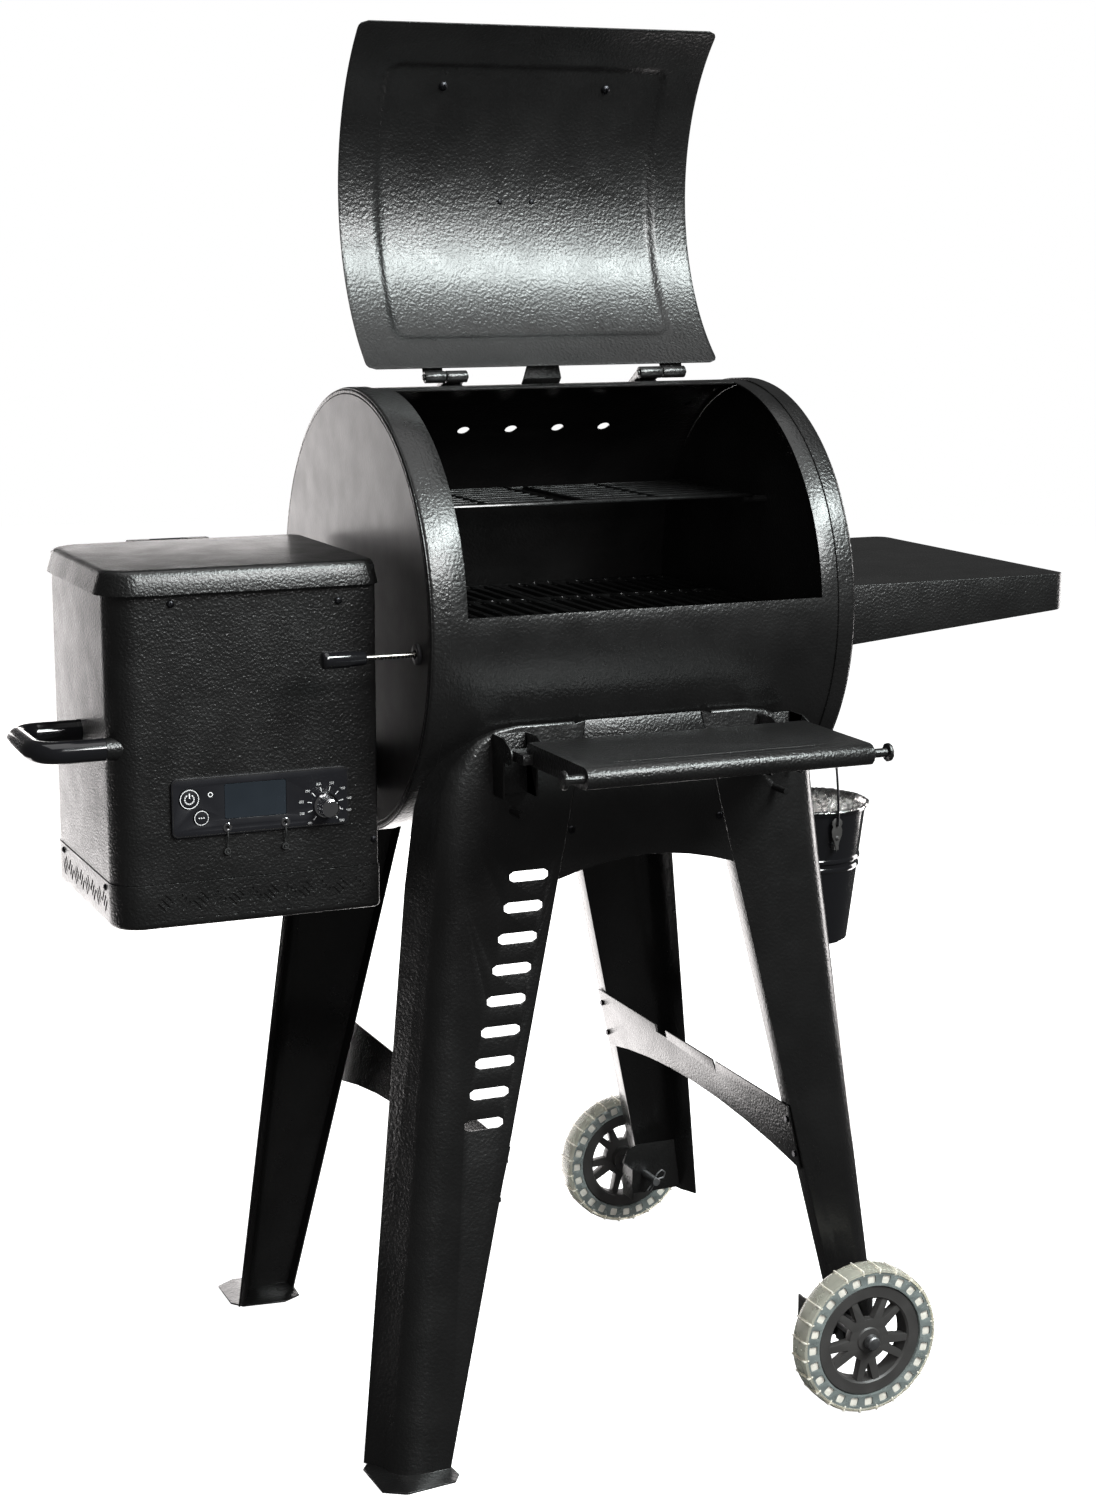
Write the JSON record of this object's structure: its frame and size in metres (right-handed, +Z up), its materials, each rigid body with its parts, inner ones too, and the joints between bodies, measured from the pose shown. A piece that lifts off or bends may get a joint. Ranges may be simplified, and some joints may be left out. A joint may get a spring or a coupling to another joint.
{
  "type": "pellet smoker grill",
  "caption": "Barrel-shaped pellet smoker with a hinged lid, side pellet hopper, fold-down front shelf, side shelf, grease bucket and two wheels.",
  "frame": {"origin": "on the floor, under the middle of the whole grill's bounding box", "axes": "+Z up, +X along the barrel from the hopper to the side shelf, +Y to the back"},
  "size_m": [1.143, 0.758, 1.4718],
  "materials": {
    "black_coat": "black powder coat, satin with a fine hammered grain",
    "bucket_paint": "gloss black paint",
    "chrome": "bright chrome",
    "circuit": "circuit board",
    "clear_tyre": "clear moulded polyurethane",
    "display": "grey display window",
    "foil": "crumpled bright foil",
    "gloss_black": "gloss black",
    "inner_coat": "matt black heat-proof coat",
    "iron": "porcelain-coated cast iron",
    "plastic": "black moulded plastic",
    "steel": "plain sheet steel",
    "zinc": "zinc plated"
  },
  "bodies": {
    "grill_body": {"barrel_shell": "black_coat", "left_end_cap": "black_coat", "right_end_cap": "black_coat", "front_left_leg": "black_coat", "rear_left_leg": "black_coat", "front_right_leg": "black_coat", "rear_right_leg": "black_coat", "front_apron": "black_coat", "rear_apron": "black_coat", "left_end_brace": "black_coat", "right_end_brace": "black_coat", "front_wheel_axle": "zinc", "rear_wheel_axle": "zinc", "left_barrel_hinge": "black_coat", "right_barrel_hinge": "black_coat", "lid_stop_bracket": "black_coat", "side_shelf": "black_coat", "left_shelf_bracket": "black_coat", "right_shelf_bracket": "black_coat", "hopper_shell": "black_coat", "hopper_base": "black_coat", "hopper_bin": "steel", "hopper_handle": "black_coat", "power_inlet": "plastic", "control_panel": "gloss_black", "display_window": "display", "controller_board": "circuit", "auger_tube": "steel", "auger_motor": "zinc", "fan_housing": "plastic", "fire_pot": "steel", "igniter_rod": "steel", "grease_plate": "inner_coat", "temperature_probe": "steel", "grease_spout": "black_coat", "lever_bush": "plastic"},
    "lid": {"lid_sheet": "black_coat", "lid_handle": "black_coat", "left_lid_hinge": "black_coat", "right_lid_hinge": "black_coat"},
    "hopper_cover": {"hopper_lid": "black_coat"},
    "fold_down_shelf": {"front_shelf": "black_coat"},
    "broiler_lever": {"broiler_rod": "chrome", "broiler_slider": "inner_coat", "lever_grip": "plastic"},
    "front_wheel": {"front_wheel_hub": "plastic", "front_wheel_tyre": "clear_tyre"},
    "rear_wheel": {"rear_wheel_hub": "plastic", "rear_wheel_tyre": "clear_tyre"},
    "knob": {"temperature_knob": "chrome"},
    "power_key": {"power_button": "gloss_black"},
    "prime_key": {"prime_button": "gloss_black"},
    "auger": {"auger_screw": "steel"},
    "fan": {"fan_impeller": "plastic"},
    "rack": {"upper_rack": "iron"},
    "grate_left": {"left_grate": "iron"},
    "grate_right": {"right_grate": "iron"},
    "bail": {"bucket_bail": "zinc"},
    "bucket": {"grease_bucket": "bucket_paint", "foil_liner": "foil"}
  },
  "joints": [
    {"name": "lid_hinge", "type": "hinge", "parent": "grill_body", "child": "lid", "pos_m": [0.0455, 0.076, 1.1028], "axis": [1, 0, 0], "range_deg": [0, 135]},
    {"name": "hopper_lid_hinge", "type": "hinge", "parent": "grill_body", "child": "hopper_cover", "pos_m": [-0.3545, 0.194, 0.925], "axis": [-1, 0, 0], "range_deg": [0, 95]},
    {"name": "front_shelf_hinge", "type": "hinge", "parent": "grill_body", "child": "fold_down_shelf", "pos_m": [0.0455, -0.216, 0.745], "axis": [1, 0, 0], "range_deg": [0, 90]},
    {"name": "broiler_lever_slide", "type": "slide", "parent": "grill_body", "child": "broiler_lever", "axis": [-1, 0, 0], "range_m": [0, 0.075]},
    {"name": "front_wheel_spin", "type": "hinge", "parent": "grill_body", "child": "front_wheel", "pos_m": [0.2715, -0.2635, 0.082], "axis": [0, 1, 0], "continuous": true},
    {"name": "rear_wheel_spin", "type": "hinge", "parent": "grill_body", "child": "rear_wheel", "pos_m": [0.2715, 0.3555, 0.082], "axis": [0, 1, 0], "continuous": true},
    {"name": "temperature_knob_turn", "type": "hinge", "parent": "grill_body", "child": "knob", "pos_m": [-0.2705, -0.093, 0.681], "axis": [0, 1, 0], "range_deg": [-135, 135]},
    {"name": "power_button_press", "type": "slide", "parent": "grill_body", "child": "power_key", "axis": [0, 1, 0], "range_m": [0, 0.0015], "stiffness_N_per_m": 400, "springref_m": -0.001},
    {"name": "prime_button_press", "type": "slide", "parent": "grill_body", "child": "prime_key", "axis": [0, 1, 0], "range_m": [0, 0.0015], "stiffness_N_per_m": 400, "springref_m": -0.001},
    {"name": "auger_spin", "type": "hinge", "parent": "grill_body", "child": "auger", "pos_m": [-0.4265, 0.046, 0.69], "axis": [1, 0, 0], "continuous": true},
    {"name": "fan_spin", "type": "hinge", "parent": "grill_body", "child": "fan", "pos_m": [-0.2845, 0.141, 0.64], "axis": [0, 1, 0], "continuous": true},
    {"name": "upper_rack_lift", "type": "slide", "parent": "grill_body", "child": "rack", "axis": [0, 0, 1], "range_m": [0, 0.06]},
    {"name": "left_grate_lift", "type": "slide", "parent": "grill_body", "child": "grate_left", "axis": [0, 0, 1], "range_m": [0, 0.09]},
    {"name": "right_grate_lift", "type": "slide", "parent": "grill_body", "child": "grate_right", "axis": [0, 0, 1], "range_m": [0, 0.09]},
    {"name": "bail_swing", "type": "hinge", "parent": "grill_body", "child": "bail", "pos_m": [0.3605, 0.046, 0.735], "axis": [1, 0, 0], "range_deg": [-15, 15]},
    {"name": "bucket_tilt", "type": "hinge", "parent": "bail", "child": "bucket", "pos_m": [0.3605, 0.046, 0.592], "axis": [0, 1, 0], "range_deg": [-20, 20]}
  ]
}
